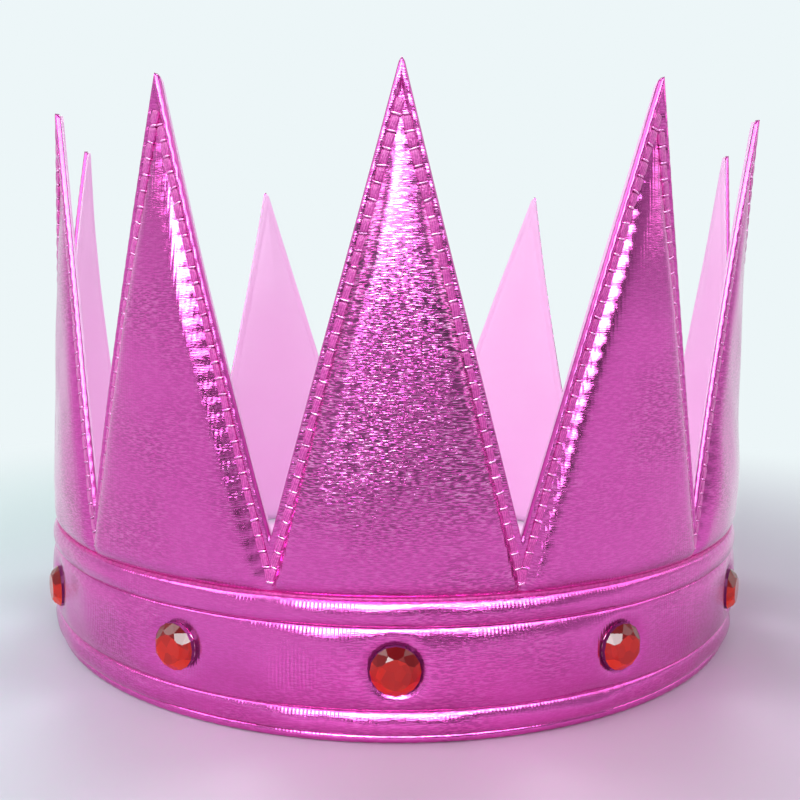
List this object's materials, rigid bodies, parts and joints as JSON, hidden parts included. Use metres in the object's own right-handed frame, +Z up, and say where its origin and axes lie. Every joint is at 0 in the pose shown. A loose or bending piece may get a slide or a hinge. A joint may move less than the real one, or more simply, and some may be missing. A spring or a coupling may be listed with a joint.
{
  "type": "padded fabric crown",
  "caption": "Sewn dress-up crown: a padded ring of shiny pink fabric with tall topstitched points, stitched rolls round the band and faceted red gems",
  "frame": {"origin": "the centre of the ring on the surface that the crown stands on", "axes": "+Z up along the ring's axis, -Y towards the front point and its gem, +X to the viewer's right"},
  "size_m": [0.1968, 0.1968, 0.1296],
  "materials": {
    "foil_fabric": "metallic foil",
    "foil_piping": "metallic foil",
    "lining_fabric": "satin",
    "wadding": "matte",
    "red_gem": "faceted, clear"
  },
  "bodies": {
    "root": {"outer_cover": "foil_fabric", "hem_piping": "foil_piping", "lining": "lining_fabric", "lower_roll_pad": "wadding", "band_pad": "wadding", "top_roll_pad": "wadding", "point_pad_01": "wadding", "point_pad_02": "wadding", "point_pad_03": "wadding", "point_pad_04": "wadding", "point_pad_05": "wadding", "point_pad_06": "wadding", "point_pad_07": "wadding", "point_pad_08": "wadding", "point_pad_09": "wadding", "point_pad_10": "wadding", "point_pad_11": "wadding", "point_pad_12": "wadding", "gem_01": "red_gem", "gem_02": "red_gem", "gem_03": "red_gem", "gem_04": "red_gem", "gem_05": "red_gem", "gem_06": "red_gem", "gem_07": "red_gem", "gem_08": "red_gem", "gem_09": "red_gem", "gem_10": "red_gem", "gem_11": "red_gem", "gem_12": "red_gem"}
  },
  "joints": []
}
